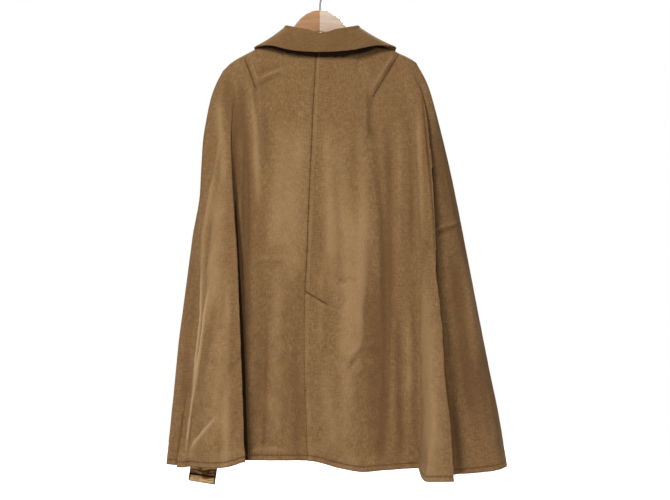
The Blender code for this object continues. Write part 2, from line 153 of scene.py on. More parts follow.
# Each fold rises from rise_x over rise_width to its edge at edge_x, then turns back
# under itself by tuck, and the cloth beyond it is level again after recover
FOLD_COLUMNS = "height rise_x rise_width edge_x depth fall_width tuck recover"
FOLDS = {
    (BACK, LEFT): (
        (1, table(FOLD_COLUMNS,
                  (-230, -205, 40, -188, 0, 18, 0, 40),
                  (-300, -218, 45, -188, 7, 24, 3, 45),
                  (-372, -228, 45, -184, 15, 28, 11, 50),
                  (-465, -240, 50, -178, 24, 30, 23, 60),
                  (-600, -256, 60, -169, 33, 30, 32, 60),
                  (-770, -274, 75, -159, 41, 27, 35, 60),
                  (-1015, -285, 80, -150, 50, 27, 36, 60))),
        (-1, table(FOLD_COLUMNS,
                   (-640, 238, 22, 262, 0, 8, 0, 8),
                   (-826, 246, 20, 270, 9, 9, 11, 16),
                   (-923, 254, 18, 281, 13, 9, 13, 17),
                   (-1015, 262, 18, 291, 17, 10, 15, 18))),
    ),
    (BACK, RIGHT): (
        (1, table(FOLD_COLUMNS,
                  (-200, 150, 30, 186, 0, 10, 0, 8),
                  (-255, 178, 30, 214, 8, 10, 8, 8),
                  (-355, 190, 32, 227, 18, 14, 18, 16),
                  (-485, 197, 36, 234, 28, 18, 25, 28),
                  (-600, 200, 38, 236, 36, 20, 29, 38),
                  (-715, 202, 36, 244, 44, 22, 32, 48),
                  (-826, 202, 36, 250, 50, 24, 35, 55),
                  (-923, 203, 30, 261, 56, 26, 37, 60),
                  (-1000, 202, 18, 266, 60, 28, 39, 65),
                  (-1035, 202, 11, 268, 62, 28, 39, 65))),
    ),
}


def top_edge(x, face):
    """Height of a panel's top edge at x, and how far it stands from the shoulder."""
    side = LEFT if np.mean(x) < 0 else RIGHT
    depth, fall = NECK[face]
    cosine = np.sqrt(np.clip(1 - (x / NECK_HALF_WIDTH) ** 2, 0, 1))
    at_neck = np.abs(x) < NECK_HALF_WIDTH
    height = np.where(at_neck, NECK_POINT_HEIGHT - fall * cosine ** 2,
                      read(SHOULDER[side], "height", np.abs(x)))
    return height, depth * cosine


def cloth_point(x, height, side, face, top_x=None):
    """Points of the cape's outer surface, hanging from the top edge at top_x."""
    top_height, neck = top_edge(x if top_x is None else top_x, face)
    drop = np.maximum(top_height - height, 0.0)
    across = np.clip(np.abs(x) / read(SIDE[side], "reach", height), 0, 1)
    belly = (1.0 - across ** SECTION_POWER) ** (1.0 / SECTION_POWER)
    round_over = 1.0 - np.minimum(drop / SHOULDER_ROLL, 1.0)
    roll = SHOULDER_ROLL * np.sqrt(1.0 - round_over ** 2)
    roll = roll * (1.0 - neck / NECK[face][0]) * np.minimum(1.0, belly * 1.6)
    start = SEAM_GAP + neck + roll
    hang = 1.0 - np.exp(-drop / HANG_LENGTH)
    depth = read(DEPTH, "back" if face == BACK else "front", height) * belly
    depth = start + (depth - start) * hang
    across_x = x.copy()
    for lean, fold in FOLDS[(face, side)]:
        along = x * lean
        row = {name: read(fold, name, height) for name in FOLD_COLUMNS.split()}
        rise = smooth((along - row["rise_x"]) / row["rise_width"])
        fallen = smooth((along - row["edge_x"]) / row["fall_width"])
        level_x = row["edge_x"] + row["fall_width"]
        level = smooth((along - level_x) / row["recover"])
        across_x -= lean * row["tuck"] * fallen * (1.0 - level)
        depth = depth + row["depth"] * rise * (1.0 - fallen)
    return np.stack([across_x, face * np.maximum(depth, SEAM_GAP), height], axis=-1)


def painted_fold_shade(x, hung_x, height, side, face):
    """How deep each point lies in the painted shade of a fold's edge, 0 in the open."""
    shade = np.zeros_like(hung_x)
    for lean, fold in FOLDS[(face, side)]:
        row = {name: read(fold, name, height) for name in FOLD_COLUMNS.split()}
        past = np.maximum(hung_x * lean - row["edge_x"] - 4.0, 0)
        under = smooth((x * lean - row["edge_x"] - row["fall_width"] * 0.8) / 4)
        deep = smooth(row["depth"] / DEEP_FOLD)
        deeper = smooth((row["depth"] - 42) / 14)
        # A painted dark line close to the edge, and a broad painted shade that grows with the
        # fold
        shadow = (0.7 * np.exp(-past / LINE_SHADE)
                  + (0.42 + 0.24 * deeper) * np.exp(-past / BROAD_SHADE))
        shade = np.maximum(shade, shadow * under * deep)
    return shade


def grid_normals(grid, outward):
    """Unit normals of a grid of points, on the side that outward chooses."""
    normals = np.cross(np.gradient(grid, axis=1), np.gradient(grid, axis=0)) * outward
    lengths = np.linalg.norm(normals, axis=2, keepdims=True)
    return normals / np.maximum(lengths, 1e-9)


def place_across(side, face, edge, height, before, after):
    """Places across a panel at each height, closer together down its main fold."""
    lean, fold = FOLDS[(face, side)][0]
    guide = lean * (read(fold, "edge_x", height) + read(fold, "fall_width", height) / 2)
    limit = read(SIDE[side], "reach", height) - SIDE_MARGIN
    guide = np.clip(guide, -limit, limit)
    near = 1 - (1 - np.arange(before) / before) ** COLUMN_EASE
    far = (np.arange(after + 1) / after) ** COLUMN_EASE
    start = edge(height)
    end = side * read(SIDE[side], "reach", height)
    return np.where(np.arange(before + after + 1) < before,
                    start + (guide - start) * np.append(near, np.ones(after + 1)),
                    guide + (end - guide) * np.append(np.zeros(before), far))


# Soft creases: how high each one rises or sinks, its half width, and its path (x, height)
# across the panel. Each fades out at both ends.
CREASES = {
    (BACK, LEFT): (
        (-4.5, 9, ((-190, -190), (-182, -235), (-176, -290), (-174, -360), (-170, -430),
                   (-164, -510))),
        (-4.0, 3.2, ((-186, -205), (-179, -263), (-180, -328), (-177, -390), (-172, -472),
                     (-166, -533), (-160, -600), (-156, -690), (-152, -800))),
        (-2.4, 12, ((-160, -215), (-158, -340), (-154, -440), (-148, -540), (-142, -640))),
        (4.0, 10, ((-212, -235), (-205, -300), (-199, -380), (-196, -470))),
        (-5.0, 8, ((-148, -230), (-150, -310), (-152, -400), (-153, -500), (-150, -610),
                   (-147, -700), (-146, -840))),
        (3.6, 9, ((-141, -215), (-137, -280), (-131, -350), (-127, -430), (-125, -520))),
        (-3.0, 10, ((-116, -250), (-114, -300), (-106, -370), (-103, -440))),
        (-3.4, 4.5, ((-158, -160), (-150, -191), (-142, -213), (-134, -234),
                     (-131, -262), (-130, -300))),
        (2.2, 5, ((-146, -170), (-140, -195), (-132, -215), (-126, -240))),
        (-3.6, 4.5, ((-140, -247), (-130, -236), (-112, -222), (-90, -214), (-70, -205))),
        (3.0, 5.5, ((-128, -222), (-110, -211), (-88, -202), (-66, -195))),
        (-2.6, 5.5, ((-140, -208), (-122, -203), (-98, -194), (-72, -187))),
        (3.6, 4.6, ((-200, -310), (-207, -350), (-220, -430), (-230, -490), (-239, -540),
                    (-241, -641), (-242, -690))),
        (4.4, 2.7, ((-240, -590), (-241, -641), (-242, -708), (-247, -752), (-254, -810),
                    (-266, -900))),
        (4.2, 2.7, ((-244, -770), (-252, -837), (-257, -866), (-264.6, -914), (-270, -958),
                    (-276, -1010))),
        (-3.4, 8, ((-258, -780), (-266, -860), (-277, -920), (-284, -1010))),
        (3.6, 2.8, ((-268, -990), (-265, -985), (-248, -960), (-227, -934), (-200, -902))),
        (-2.6, 3.5, ((-188, -822), (-172, -806), (-158, -788))),
        (-2.2, 6, ((-214, -470), (-224, -530), (-231, -590), (-232, -650), (-234, -710))),
        (4.2, 2.6, ((-214, -620), (-222, -657), (-229, -686), (-233, -708), (-239, -752),
                  (-246, -800), (-258, -890))),
        (2.8, 3.6, ((-210, -560), (-217, -582), (-224, -606), (-229, -630))),
        (-2.6, 7, ((-205, -640), (-213, -690), (-222, -740), (-234, -800), (-248, -880))),
        (-1.4, 8, ((-268, -590), (-262, -626), (-256, -650), (-262, -690))),
        (2.6, 8, ((-270, -1010), (-259, -977), (-246, -950))),
        (-3.0, 12, ((-262, -640), (-270, -740), (-280, -830), (-292, -930))),
        (2.0, 12, ((-196, -700), (-198, -800), (-205, -900), (-212, -985))),
        (-2.4, 12, ((-180, -560), (-178, -680), (-182, -800), (-186, -920))),
        (-4.0, 14, ((-42, -560), (-46, -676), (-47, -820), (-45, -960), (-44, -1200))),
        (1.8, 18, ((-82, -520), (-88, -680), (-92, -840), (-96, -980), (-96, -1080))),
        (-2.6, 3.2, ((-112, -640), (-109, -760), (-112, -880), (-118, -1060))),
        (-2.4, 14, ((-116, -560), (-120, -700), (-124, -840), (-128, -1000))),
        (2.2, 5, ((-162, -985), (-148, -981), (-104, -979), (-60, -980), (-46, -984))),
        (-1.6, 5, ((-156, -968), (-120, -966), (-80, -968))),
        (2.4, 20, ((-86, -270), (-88, -380), (-90, -500), (-92, -600))),
        (3.0, 26, ((-46, -260), (-46, -360), (-50, -480), (-60, -600), (-72, -720))),
        (1.8, 30, ((-206, -520), (-212, -660), (-214, -820), (-214, -960), (-216, -1080))),
        (4.4, 20, ((-206, -400), (-212, -500), (-220, -600), (-222, -680), (-224, -760))),
        (4.0, 9, ((-180, -560), (-182, -660), (-183, -760), (-185, -880), (-187, -1060))),
        (-4.4, 9, ((-198, -190), (-194, -240), (-192, -300), (-190, -350))),
        (-3.6, 8, ((-164, -205), (-162, -250), (-161, -310), (-160, -370))),
        (-1.6, 5, ((-120, -596), (-96, -604), (-70, -600))),
        (1.6, 5, ((-128, -584), (-98, -590), (-66, -586))),
    ),
    (BACK, RIGHT): (
        (-3.6, 4.5, ((172, -150), (158, -177), (142, -203), (125, -232), (109, -260),
                     (106, -290))),
        (2.6, 5.5, ((162, -148), (149, -174), (133, -200), (116, -229), (100, -256))),
        (-3.8, 6, ((103, -226), (103, -270), (104, -310), (107, -360))),
        (2.4, 9, ((6, -560), (4, -640), (2, -720), (0, -820))),
        (2.8, 9, ((90, -560), (88, -640), (85, -720), (80, -800), (78, -850))),
        (-1.8, 12, ((38, -450), (42, -560), (44, -660), (44, -760))),
        (-5.0, 9, ((108, -240), (109, -300), (116, -380), (123, -452), (129, -503),
                   (134, -600), (139, -737), (136, -860), (131, -960), (130, -1080))),
        (3.0, 14, ((80, -240), (86, -360), (90, -480), (88, -590), (78, -700), (64, -820))),
        (-4.4, 22, ((112, -560), (115, -700), (117, -800), (117, -900), (116, -1100))),
        (-2.2, 8, ((178, -215), (186, -290), (191, -380), (192, -470), (190, -560),
                   (187, -650))),
        (3.6, 7, ((201, -255), (205, -330), (208, -430), (211, -520), (214, -600))),
        (1.6, 10, ((160, -230), (164, -330), (164, -430), (162, -540), (164, -640))),
        (-3.4, 9, ((140, -270), (142, -350), (145, -430), (147, -520), (148, -620),
                   (149, -760))),
        (4.6, 11, ((210, -560), (214, -680), (218, -780), (222, -880), (228, -1080))),
        (-1.2, 7, ((198, -600), (200, -720), (202, -850), (206, -990))),
        (2.8, 9, ((184, -640), (182, -760), (182, -880), (186, -1000))),
        (-4.2, 9, ((162, -660), (164, -760), (165, -850), (168, -960), (170, -1040))),
        (-4.0, 4.5, ((228, -540), (255, -534), (275, -529), (298, -523))),
        (3.4, 5, ((228, -529), (262, -523), (300, -512))),
        (-2.6, 4.5, ((98, -766), (88, -778), (76, -792), (58, -813), (48, -826))),
        (2.0, 5, ((84, -764), (72, -778), (58, -796))),
        (-2.2, 4.5, ((84, -773), (104, -776), (124, -783), (142, -790))),
        (1.8, 8, ((70, -830), (96, -806), (128, -812))),
        (-3.0, 2.6, ((-46, -649), (-29, -659), (16, -685), (32, -694))),
        (2.2, 3.2, ((-46, -655), (-29, -665), (16, -691), (30, -699))),
        (-2.4, 4.5, ((210, -556), (224, -570), (238, -588))),
        (2.6, 12, ((14, -250), (18, -400), (24, -560), (28, -700))),
        (3.2, 20, ((46, -240), (50, -400), (54, -520), (58, -640), (56, -760), (54, -900),
                   (50, -1120))),
        (2.8, 15, ((14, -760), (20, -860), (24, -940), (26, -1040))),
        (1.5, 46, ((40, -440), (52, -560), (60, -660), (58, -760))),
        (2.4, 20, ((236, -640), (240, -800), (244, -980), (246, -1080))),
        (3.0, 14, ((300, -560), (312, -660), (322, -760), (332, -860))),
        (-3.4, 13, ((276, -560), (290, -680), (302, -800), (318, -960))),
        (-3.3, 36, ((236, -200), (258, -300), (278, -450), (296, -620), (314, -780),
                    (334, -940), (344, -1100))),
        (-4.0, 3.0, ((206, -188), (212, -225), (220, -324), (226, -408), (233, -510),
                     (234, -571), (238, -610), (242, -690))),
        (-3.0, 9, ((352, -800), (372, -930), (388, -1030), (398, -1120))),
        (-4.0, 9, ((266, -830), (276, -930), (284, -1000), (292, -1120))),
        (-2.8, 8, ((218, -190), (228, -240), (250, -320), (280, -440), (310, -590),
                   (334, -720), (355, -830), (374, -930), (390, -1080))),
        (-2.6, 12, ((332, -760), (346, -860), (358, -980))),
        (-2.6, 10, ((238, -280), (250, -360), (262, -440), (270, -500))),
        (1.8, 5, ((30, -652), (52, -646), (84, -650))),
        (-1.8, 5, ((36, -641), (60, -634), (92, -640))),
    ),
}


def crease_lift(x, height, creases):
    """How far the creases lift each point of the cloth."""
    lift = np.zeros_like(x)
    for rise, width, path in creases:
        path = np.array(path, float)
        lengths = np.linalg.norm(np.diff(path, axis=0), axis=1)
        closest = np.full(x.shape, 1e9)
        place = np.zeros_like(x)
        passed = 0.0
        for (ax, az), (bx, bz), length in zip(path[:-1], path[1:], lengths):
            along = ((x - ax) * (bx - ax) + (height - az) * (bz - az)) / length ** 2
            along = np.clip(along, 0, 1)
            away = np.hypot(x - ax - along * (bx - ax), height - az - along * (bz - az))
            place = np.where(away < closest, (passed + along * length) / lengths.sum(), place)
            closest = np.minimum(away, closest)
            passed += length
        fade = smooth(place / 0.3) * smooth((1 - place) / 0.3)
        lift += rise * fade * np.exp(-(closest / width) ** 2)
    return lift


def uneven(points, across, down, seed):
    """Gentle unevenness of hanging cloth, from -1 to 1, in waves of the given sizes."""
    flat = points.reshape(-1, 3)
    waves = [noise.noise(Vector((x / across, y / across + seed, z / down)))
             for x, y, z in flat]
    return np.array(waves).reshape(points.shape[:2])


def new_object(name, data):
    """A new object in the scene."""
    made = bpy.data.objects.new(name, data)
    bpy.context.collection.objects.link(made)
    return made


def select_only(piece):
    """Makes one piece the only selected one, and the active one."""
    bpy.ops.object.select_all(action="DESELECT")
    piece.select_set(True)
    bpy.context.view_layer.objects.active = piece


def cloth_sheet(name, grid, outward, thickness, material, marks=None):
    """A sheet of cloth from a grid of its outer surface, in millimetres, with its walls
    inwards. Its UV map holds the lengths along its threads. Its attributes hold how high
    each place is lifted with its painted shade added, where sharp creases get a painted
    highlight, and how far it is from the hem and from the turned edge; the inside gets no
    painted light, shade or highlight."""
    rows, cols = grid.shape[:2]
    quads = []
    for i in range(rows - 1):
        for j in range(cols - 1):
            a = i * cols + j
            quad = (a, a + 1, a + cols + 1, a + cols)
            quads.append(quad if outward > 0 else quad[::-1])
    mesh = bpy.data.meshes.new(name)
    mesh.from_pydata((grid.reshape(-1, 3) * MM).tolist(), [], quads)
    steps_across = np.linalg.norm(np.diff(grid, axis=1), axis=2)
    steps_down = np.linalg.norm(np.diff(grid, axis=0), axis=2)
    across = np.pad(np.cumsum(steps_across, axis=1), ((0, 0), (1, 0)))
    down = np.pad(np.cumsum(steps_down, axis=0), ((1, 0), (0, 0)))
    threads = np.stack([across, -down], axis=-1).reshape(-1, 2) * MM
    corners = np.array([loop.vertex_index for loop in mesh.loops])
    layer = mesh.uv_layers.new(name="threads")
    layer.data.foreach_set("uv", threads[corners].ravel())
    marks = {"painted_light_and_shade": np.zeros((rows, cols)), "painted_highlight": np.zeros((rows, cols)),
             "hem": np.full((rows, cols), 99.0),
             "edge": np.full((rows, cols), 99.0)} | (marks or {})
    for mark, values in marks.items():
        layer = mesh.attributes.new(mark, "FLOAT", "POINT")
        layer.data.foreach_set("value", values.ravel().astype(float))
    mesh.materials.append(material)
    piece = new_object(name, mesh)
    select_only(piece)
    walls = piece.modifiers.new("walls", "SOLIDIFY")
    walls.thickness = thickness * MM
    walls.offset = -1
    bpy.ops.object.modifier_apply(modifier="walls")
    bpy.ops.object.shade_smooth_by_angle(angle=math.radians(50))
    for mark in ("painted_light_and_shade", "painted_highlight"):
        values = np.zeros(len(piece.data.vertices), np.float32)
        piece.data.attributes[mark].data.foreach_get("value", values)
        values[rows * cols:] = 0.0
        piece.data.attributes[mark].data.foreach_set("value", values)
    return piece


def panel_grid(side, face, edge, before, after, rows):
    """One panel of the cape, from its neckline and shoulder down to its hem, with the
    heights that its points started from, its hem's, and the shade of its folds."""
    def places(height):
        height = np.asarray(height, float).reshape(-1, 1)
        return place_across(side, face, edge, height, before, after)

    top_x = places(SIDE[side]["height"][-1])[0]
    tops, _ = top_edge(top_x, face)
    hem_x = places(HEM[face]["height"][0 if side == LEFT else -1])[0]
    hems = read(HEM[face], "height", hem_x)
    shares = np.linspace(0, 1, rows) ** 1.15
    heights = tops + (hems - tops) * shares[:, None]
    across = np.array([places(heights[:, j])[:, j] for j in range(len(top_x))]).T
    grid = cloth_point(across, heights, side, face, np.broadcast_to(top_x, across.shape))
    shade = painted_fold_shade(across, grid[..., 0], heights, side, face)
    return grid, heights, hems, shade


def finish_panel(grid, heights, hems, side, face, seam):
    """Adds a panel's creases, its pressed seam edge and its stitched hem. Returns the new
    grid, how far each point is lifted, and how far by the sharp creases alone, for the
    painted highlights."""
    x, y = grid[..., 0], grid[..., 1]
    creases = CREASES[(face, side)]
    lift = crease_lift(x, heights, creases)

    # Broad waves where the cloth hangs free, then smaller and fine ones, more lower down
    free = smooth((FREE_FROM - heights) / 160)
    lower = smooth((LIVELY_FROM - heights) / 400)
    lift += 1.6 * free * uneven(grid, 46, 150, 3)
    lift += (0.7 + 0.6 * lower) * free * uneven(grid, 24, 30, 11)
    lift += (0.35 + 0.3 * lower) * uneven(grid, 9, 14, 23)

    # The hem is thicker by its two turned layers, and its stitches pull it in
    from_hem = heights - hems
    lift += 0.5 * smooth((HEM_TURN - from_hem) / 3)
    lift -= 0.9 * np.exp(-((from_hem - HEM_STITCH) / 1.6) ** 2)
    lift += 0.5 * smooth((HEM_ALLOWANCE - from_hem) / 3)
    lift += seam(x, heights)

    # Close to the other face of the cape the cloth has no room to move
    room = 1 - 0.8 * np.exp(-(np.abs(y) / 6) ** 2)
    # The sharp raised creases alone, for the painted highlights
    painted_highlight = crease_lift(x, heights, [(rise, width, path) for rise, width, path in creases
                                    if rise > 0 and width < HIGHLIT_CREASE_WIDTH])
    lifted = grid + grid_normals(grid, side * face) * (lift * room)[..., None]
    return lifted, lift, painted_highlight


def turned_in(grid, normals, depth, side):
    """Adds the turned edge of a seam to a panel's first column, up to its neighbour's."""
    inwards = [grid[:, :1] - normals[:, :1] * d for d in (depth, depth * 0.4)]
    for column in inwards:
        column[..., 0] = grid[:, :1, 0] - side * SEAM_GAP
    return np.concatenate(inwards + [grid], axis=1)


def centre_seam(side):
    """How the centre back's seam edge sinks, and how its pressed allowances show."""
    def lift(x, heights):
        from_seam = np.abs(x - read(CENTRE_BACK, "x", heights))
        sewn = smooth((heights - VENT_TOP) / 12)
        band = 0.7 if side == RIGHT else 0.35
        pressed = band * smooth((SEAM_PRESSED - from_seam) / 3)
        return sewn * (pressed - SEAM_SINK * np.exp(-(from_seam / 2.2) ** 2))
    return lift


# Wool twill, woven and then brushed: the nap hides the threads, so it reads as a matt
# khaki tan with faint diagonals, a little lighter on a ridge by a painted highlight.
def hex_colour(code):
    """Linear colour of an sRGB hex value."""
    parts = [int(code[i:i + 2], 16) / 255 for i in (1, 3, 5)]
    return tuple(p / 12.92 if p <= 0.04045 else ((p + 0.055) / 1.055) ** 2.4
                 for p in parts) + (1.0,)


def node(material, kind, inputs=None, **settings):
    """Adds one node to a material, with its settings and its inputs' values or links."""
    tree = material.node_tree
    made = tree.nodes.new("ShaderNode" + kind)
    for name, value in settings.items():
        setattr(made, name, value)
    for name, value in (inputs or {}).items():
        if isinstance(value, bpy.types.NodeSocket):
            tree.links.new(value, made.inputs[name])
        else:
            made.inputs[name].default_value = value
    return made


def new_material(name):
    """An empty material with its output and its shader, already joined."""
    material = bpy.data.materials.new(name)
    material.use_nodes = True
    return material, material.node_tree.nodes["Principled BSDF"]


def ramp(material, value, start, end, low=0.0, high=1.0):
    """Low at start, high at end, and straight between them."""
    return node(material, "MapRange", {"Value": value, "From Min": start, "From Max": end,
                                       "To Min": low, "To Max": high}).outputs["Result"]


def blend(material, share, first, second):
    """A share of the way between two colours, each one a link or a hex value."""
    first, second = (hex_colour(colour) if isinstance(colour, str) else colour
                     for colour in (first, second))
    return node(material, "Mix", {0: share, 6: first, 7: second},
                data_type="RGBA").outputs[2]


def combine(material, operation, *values):
    """Arithmetic on links and numbers."""
    return node(material, "Math", dict(enumerate(values)), operation=operation).outputs[0]


def greatest(material, values):
    """The greatest of several values."""
    result = values[0]
    for value in values[1:]:
        result = combine(material, "MAXIMUM", result, value)
    return result


def clouds(material, place, scale, stretch=(1, 1, 1), turn=(0, 0, 0), detail=2.0,
           roughness=0.5, distortion=0.0):
    """Noise in patches of 1 / scale metres, or less where its space is stretched."""
    own = node(material, "Mapping", {"Vector": place, "Rotation": turn, "Scale": stretch})
    return node(material, "TexNoise", {"Vector": own.outputs["Vector"], "Scale": scale,
                                       "Detail": detail, "Roughness": roughness,
                                       "Distortion": distortion}).outputs["Fac"]


def join_surface(material, shader, colour, height, strength, depth):
    """Gives the shader its colour and a fine relief, depth metres high at most."""
    relief = node(material, "Bump", {"Height": height, "Strength": strength,
                                     "Distance": depth})
    material.node_tree.links.new(colour, shader.inputs["Base Color"])
    material.node_tree.links.new(relief.outputs["Normal"], shader.inputs["Normal"])


def drawn_line(material, place, start, end, width):
    """How close a place is to a straight seam between two points (x, height) in mm."""
    (ax, az), (bx, bz) = start, end
    turn = math.atan2(bx - ax, bz - az)
    own = node(material, "Mapping", {"Vector": place, "Location": (ax * MM, 0, az * MM),
                                     "Rotation": (0, turn, 0)}, vector_type="TEXTURE")
    sides = node(material, "SeparateXYZ", {"Vector": own.outputs["Vector"]})
    away = combine(material, "ABSOLUTE", sides.outputs["X"])
    half = math.hypot(bx - ax, bz - az) * MM / 2
    within = combine(material, "COMPARE", sides.outputs["Z"], half, half)
    return ramp(material, away, width * 0.25 * MM, width * MM, within, 0.0)


def wool_twill(name, light="#94744C", mid="#86653F", deep="#735032", lines=()):
    """The cape's cloth, in its own tan or a darker copy for painted shade, with its straight
    seams.
    """
    material, shader = new_material(name)
    place = node(material, "TexCoord").outputs["Object"]
    threads = node(material, "UVMap", uv_map="threads").outputs["UV"]
    painted_light_and_shade, painted_highlight, hem, edge = [
        node(material, "Attribute", attribute_name=mark).outputs["Fac"]
        for mark in ("painted_light_and_shade", "painted_highlight", "hem", "edge")]

    # The nap lies in streaks down the cloth, some tan, some redder, 30 to 60 mm wide
    streaks = clouds(material, place, 26, stretch=(1, 1, 0.16), detail=5, roughness=0.62)
    mottled = clouds(material, place, 240, detail=4, roughness=0.75)

    # Warp and weft threads are 0.5 mm apart; they are drawn 2.5 mm apart so that they show
    warp = clouds(material, threads, 1, stretch=(430, 90, 1))
    weft = clouds(material, threads, 1, stretch=(70, 430, 1))
    woven = combine(material, "MULTIPLY", warp, weft)

    # The real twill lines are 0.7 mm apart; they are drawn 3 mm apart so that they show
    turned = node(material, "Mapping", {"Vector": threads,
                                        "Rotation": (0, 0, math.radians(-62))})
    twill = node(material, "TexWave", {"Vector": turned.outputs["Vector"], "Scale": 104.0,
                                       "Distortion": 3.0, "Detail": 3.0,
                                       "Detail Scale": 1.6}).outputs["Fac"]

    colour = blend(material, ramp(material, streaks, 0.36, 0.62), mid, light)
    colour = blend(material, ramp(material, mottled, 0.4, 0.75, 0, 0.7), colour, deep)
    colour = blend(material, ramp(material, woven, 0.16, 0.36, 0.62, 0), colour, "#5E4126")
    colour = blend(material, ramp(material, twill, 0, 1, 0, 0.1), colour, "#A98A63")

    # Painted highlights make ridges paler, most along sharp creases; painted shade makes
    # the troughs darker, deepest by the folds' edges and in the painted shadow under the
    # collar
    for value, start, end, share, shade in ((painted_light_and_shade, 0.6, 4.5, 0.45, "#AE8D64"),
                                            (painted_highlight, 0.6, 4.2, 0.38, "#CDB08A"),
                                            (painted_light_and_shade, -0.6, -5.0, 0.6, "#5E4126"),
                                            (painted_light_and_shade, -11.0, -15.0, 0.9, "#1E1008")):
        share = ramp(material, value, start, end, 0, share)
        colour = blend(material, share, colour, shade)

    # Seams and stitched lines get painted shade where the cloth dips in, and the hem's lower
    # edge a painted shadow
    off_hem = combine(material, "ABSOLUTE", combine(material, "SUBTRACT", hem, HEM_STITCH))
    dip = greatest(material, [ramp(material, off_hem, 0.5, 2.0, 0.75, 0),
                              ramp(material, hem, 0.6, 2.2, 0.9, 0),
                              ramp(material, edge, 0.15, 0.85, 0.65, 0)]
                   + [drawn_line(material, place, *line) for line in lines])
    colour = blend(material, combine(material, "MULTIPLY", dip, 0.8), colour, "#43240D")

    height = combine(material, "MULTIPLY", twill, 0.3)
    for part, weight in ((woven, 2.0), (mottled, 1.0), (dip, -2.0)):
        height = combine(material, "MULTIPLY_ADD", part, weight, height)
    join_surface(material, shader, colour, height, 0.6, 0.0008)
    shader.inputs["Roughness"].default_value = 0.95
    shader.inputs["IOR"].default_value = 1.5
    shader.inputs["Specular IOR Level"].default_value = 0.2
    shader.inputs["Sheen Weight"].default_value = 0.1
    shader.inputs["Sheen Roughness"].default_value = 0.5
    shader.inputs["Sheen Tint"].default_value = hex_colour("#D9BE97")
    return material


# Below this line the cloth is open to the light; above it, it lies under the collar in a
# painted shadow
UNDER_COLLAR = table("x height", (-120, -150), (-92, -157), (-64, -166.5), (-37, -172),
                     (-9, -175), (18, -176), (46, -175), (74, -168), (102, -160),
                     (118, -153))

# The two darts, the slanted stitches over the vent and the notch at the shoulder tip
wool = wool_twill("wool_twill_back", lines=(
    ((-158, -172), (-134, -236), 1.1), ((165, -165), (109, -258), 1.1),
    ((-29, -659), (16, -685), 1.7), ((190, -174), (209, -188), 2.0)))
surfaces = {}
for name, side, flat, area, before, after in (
        ("back_left", LEFT, (0.42, 0.92), 0.27, 84, 108),
        ("back_right", RIGHT, (0.56, 0.92), 0.36, 114, 76)):
    edge = lambda height, side=side: read(CENTRE_BACK, "x", height) + side * SEAM_GAP
    grid, heights, hems, shade = panel_grid(side, BACK, edge, before, after, 208)
    if side == LEFT:
        # The left back dips under the right one down the vent
        inside = grid[..., 0] - read(CENTRE_BACK, "x", heights)
        grid[..., 1] += (VENT_STEP * smooth((VENT_TOP - heights) / 20)
                         * smooth((inside + VENT_EASE) / VENT_EASE))
    grid, lift, painted_highlight = finish_panel(grid, heights, hems, side, BACK, centre_seam(side))
    normals = grid_normals(grid, side * BACK)
    surfaces[name] = (grid, heights - hems, normals)
    from_edge = np.abs(grid[..., 0] - read(CENTRE_BACK, "x", heights))
    if side == RIGHT:
        # Pressed seam allowances show as a paler band, a painted highlight
        lift += 1.3 * smooth((from_edge - 2) / 2) * smooth((10 - from_edge) / 3)
    # Painted light and shade: the lift paints ridges lighter and troughs darker, the folds'
    # edges paint shade beside them, and the cloth under the collar takes a painted shadow
    under_collar = smooth((heights - read(UNDER_COLLAR, "height", grid[..., 0]) + 1.5) / 3)
    marks = {"painted_light_and_shade": (np.minimum(lift, RIDGE_LIMIT - FOLD_SHADE * shade)
                        - COLLAR_SHADE * under_collar),
             "painted_highlight": painted_highlight, "hem": heights - hems,
             "edge": from_edge + 0.45 * smooth((VENT_TOP - heights) / 20)}
    marks = {mark: np.pad(values, ((0, 0), (2, 0)), mode="edge")
             for mark, values in marks.items()}
    grid = turned_in(grid, normals, SEAM_TURN, side)
    piece = cloth_sheet("cloth_" + name, grid, side * BACK, CLOTH, wool, marks)
    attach(piece, "root")
    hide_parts(name)


# The underlap of the vent, cut in one with the left back. It lies under the right back
# and is caught to it by a short slanted line of stitches at its top.
VENT_LAP = 47.0
VENT_DROP = 24.0
VENT_SLANT = 28.0
VENT_FOOT = -1000.0
VENT_HEM_RISE = 4.0
VENT_SPACE = 0.5

shares = np.linspace(0, 1, 14)
tops = VENT_TOP - VENT_DROP - VENT_SLANT * shares
bottom_x = read(CENTRE_BACK, "x", VENT_FOOT) + VENT_LAP * shares
bottoms = read(HEM[BACK], "height", bottom_x) + VENT_HEM_RISE
heights = tops + (bottoms - tops) * np.linspace(0, 1, 90)[:, None]
across = read(CENTRE_BACK, "x", heights) + SEAM_GAP + VENT_LAP * shares
grid = cloth_point(across, heights, RIGHT, BACK)
grid[..., 1] += CLOTH + VENT_SPACE
underlap = cloth_sheet("cloth_vent_underlap", grid, -1, CLOTH, wool)
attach(underlap, "root")
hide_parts("vent_underlap")


# The two front panels, of the same twill. The right one laps over the left one by 25 mm
# on each side of the centre, and both hang from the neckline and the shoulder seams.
LAP_WIDTH = 25.0
LAP_STEP = CLOTH + 0.6
LAP_EASE = 18.0
EDGE_STITCH = 8.0

HEM[FRONT] = table("x height",
                   (-322, -1020), (-240, -1008), (-150, -1012), (-60, -1004),
                   (40, -1008), (150, -1022), (260, -1018), (393, -1026))

FOLDS |= {
    (FRONT, LEFT): (
        (1, table(FOLD_COLUMNS,
                  (-300, -150, 50, -100, 0, 20, 0, 30),
                  (-600, -165, 55, -98, 16, 24, 20, 34),
                  (-1020, -190, 60, -96, 34, 28, 34, 36))),
    ),
    (FRONT, RIGHT): (
        (-1, table(FOLD_COLUMNS,
                   (-300, -190, 50, -128, 0, 20, 0, 40),
                   (-600, -222, 60, -138, 20, 24, 24, 60),
                   (-1020, -268, 70, -155, 42, 28, 38, 70))),
    ),
}

